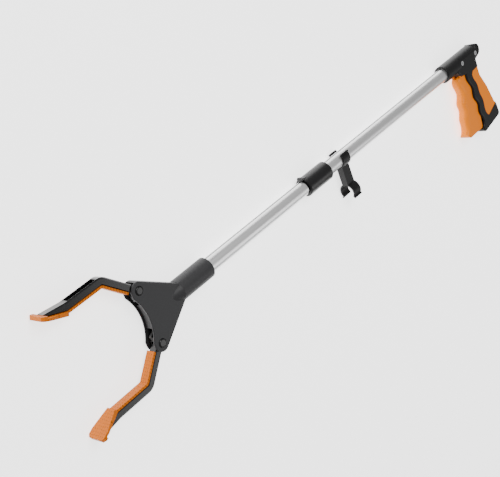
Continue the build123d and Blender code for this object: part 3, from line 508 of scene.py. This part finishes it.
@dataclass
class FoldJoint:
    """The sleeve, collar and hinge pin between the tubes, with the cable that crosses them."""

    black: Moulding = Moulding("sleeve_black", BLACK, 0.34, 0.35, 0.008, specular=0.35)
    strand_count: int = 6
    cable_r: float = 0.9 * MM
    lay_mm: float = 9.0
    steps: int = 140
    sides: int = 8
    bend_reach: float = 20.0 * MM

    def strand_rings(self, strand: int, start: float, length: float, middle: Vector) -> list[list[Vector]]:
        """Rings of one strand, a third as thick as the cable; the last strand is the straight core.

        Args:
            strand: The strand's number.
            start: Where the cable begins along X.
            length: The cable's length.
            middle: A point on the cable's middle line.

        Returns:
            The strand's rings in order.
        """
        strand_r = self.cable_r / 3.0
        reach = 0.0 if strand == self.strand_count else self.cable_r - strand_r
        rings = []
        for step in range(self.steps + 1):
            along = length * step / self.steps
            angle = 2 * math.pi * (strand / self.strand_count + along / (self.lay_mm * MM))
            out_y, out_z = reach * math.cos(angle), reach * math.sin(angle)
            centre = Vector((start + along, middle.y + out_y, middle.z + out_z))
            rings.append([
                centre + Vector((0, strand_r * math.cos(a), strand_r * math.sin(a)))
                for a in (2 * math.pi * k / self.sides for k in range(self.sides))
            ])
        return rings

    def build_cable(self) -> None:
        """Winds the joint cable's strands."""
        low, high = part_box("joint_cable")
        middle = centre_of("joint_cable")
        strands = [self.strand_rings(strand, low[0], high[0] - low[0], middle)
                   for strand in range(self.strand_count + 1)]
        strand_steel = BareSteel("strand_steel", (0.45, 0.45, 0.46), 0.3).material()
        cable = skin_wires("cable_strands", strands, strand_steel)
        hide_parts("joint_cable")
        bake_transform(cable)
        LOG.info("wound the joint cable")

    def dress(self) -> None:
        """Finishes the sleeve, the collar and the pins."""
        dress(("joint_sleeve", "front_collar"), self.black.material())
        dress(("hinge_pin",), BareSteel("pin_steel", (0.12, 0.12, 0.12), 0.3).material())


@dataclass
class StorageClip:
    """The clip that slides on the rear tube and holds the folded front tube."""

    black: Moulding = Moulding("clip_black", BLACK, 0.42, 0.4, 0.012)

    def dress(self) -> None:
        """Finishes the clip."""
        dress(("storage_clip",), self.black.material())


@dataclass
class JawHead:
    """The dark grey housing that carries the two jaws."""

    grey: Moulding = Moulding("head_grey", (0.017, 0.017, 0.018), 0.50, 0.7, 0.06, 0.9, specular=0.3)
    gloss: Moulding = Moulding("rivet_black", BLACK, 0.2, 0.4, 0.003, coat=Coat.THIN)

    def dress(self) -> None:
        """Finishes the housing, its cover and the rivets."""
        dress(("jaw_housing", "jaw_cover"), self.grey.material())
        dress(("jaw_rivets",), self.gloss.material())


@dataclass
class Jaws:
    """The two jaw arms with their soft linings."""

    rest_angle: float = 24.0
    gloss: Moulding = Moulding("arm_black", BLACK, 0.24, 0.5, 0.004, coat=Coat.THIN)

    def dress(self) -> None:
        """Finishes the arms, pads and drive pins."""
        dress(("jaw_arm_upper", "jaw_arm_lower"), self.gloss.material())
        for word, turn in (("upper", self.rest_angle), ("lower", -self.rest_angle)):
            # The pads take the darker orange, painted shade that offsets the light on them.
            dress((f"jaw_pad_{word}",), DottedRubber(f"pad_orange_painted_shade_{word}", PAD_ORANGE_PAINTED_SHADE, turn).material())
        dress(("drive_pin_upper", "drive_pin_lower"), BareSteel("drive_steel", PIN_STEEL, 0.25).material())


@dataclass
class Handle:
    """The pistol grip with its inlays, screws and trigger."""

    black: Moulding = Moulding("handle_black", BLACK, 0.40, 0.6, 0.03)
    orange: Moulding = Moulding("inlay_orange", ORANGE, 0.45, 0.5, 0.02, 0.03, specular=0.12)
    trigger: Moulding = Moulding("trigger_orange", ORANGE, 0.34, 0.6, 0.006, 0.03, specular=0.18)

    def dress(self) -> None:
        """Finishes the shells, inlays, screws and trigger."""
        dress(("handle_shell_left", "handle_shell_right"), self.black.material())
        dress(("grip_inlay_left", "grip_inlay_right"), self.orange.material())
        dress(("trigger",), self.trigger.material())
        dress(("handle_screws",), BareSteel("screw_bright", (0.75, 0.75, 0.76), 0.15).material())
        dress(("hook_pin",), BareSteel("hook_steel", PIN_STEEL, 0.25).material())


@dataclass
class Linkage:
    """The rods, ferrules, springs and inner mouldings that carry the trigger's pull."""

    spring_turns: int = 9
    wire_r: float = 0.45 * MM
    steps_per_turn: int = 28
    sides: int = 10
    pull_travel: float = 4.515 * MM

    def build_jaw_spring(self) -> None:
        """Winds the jaws' return spring at rest and hangs it on the front frame; on the real grabber the yoke
        presses it together as the trigger is pulled.
        """
        low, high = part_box("jaw_spring")
        middle = centre_of("jaw_spring")
        coil_r = (high[2] - low[2]) / 2 - self.wire_r
        start, length = low[0] + self.wire_r, high[0] - low[0] - 2 * self.wire_r
        total = self.spring_turns * self.steps_per_turn
        rings = []
        for step in range(total + 1):
            angle = 2 * math.pi * step / self.steps_per_turn
            out = Vector((0, math.cos(angle), math.sin(angle)))
            centre = Vector((start + length * step / total, middle.y, middle.z)) + out * coil_r
            rings.append([
                centre + out * (self.wire_r * math.cos(a)) + Vector((self.wire_r * math.sin(a), 0, 0))
                for a in (2 * math.pi * k / self.sides for k in range(self.sides))
            ])
        coil_steel = BareSteel("coil_steel", (0.4, 0.4, 0.42), 0.28).material()
        spring = skin_wires("jaw_spring_coil", [rings], coil_steel)
        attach(spring, "front_frame")
        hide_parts("jaw_spring")
        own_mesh(spring)
        LOG.info("wound the jaw spring")

    def dress(self) -> None:
        """Finishes the hidden pieces."""
        wire = BareSteel("rod_steel", (0.5, 0.5, 0.51), 0.3)
        dress(("front_pull_rod", "rear_pull_rod"), wire.material())
        ferrule_metal = BareSteel("ferrule_metal", (0.62, 0.62, 0.63), 0.35)
        dress(("front_ferrule", "rear_ferrule"), ferrule_metal.material())
        dress(("trigger_spring",), BareSteel("spring_steel", (0.4, 0.4, 0.42), 0.28).material())
        inner_black = Moulding("inner_black", (0.006, 0.006, 0.006), 0.45)
        dress(("yoke", "rod_end", "cable_guide"), inner_black.material())


def main() -> None:
    """Builds the scene in order."""
    logging.basicConfig(level=logging.INFO, format="%(name)s: %(message)s")
    studio = Studio()
    studio.build_camera()
    studio.build_floor()
    studio.build_lights()
    Tubes().dress()
    joint = FoldJoint()
    joint.build_cable()
    joint.dress()
    StorageClip().dress()
    JawHead().dress()
    Jaws().dress()
    Handle().dress()
    linkage = Linkage()
    linkage.build_jaw_spring()
    linkage.dress()


if __name__ == "__main__":
    main()
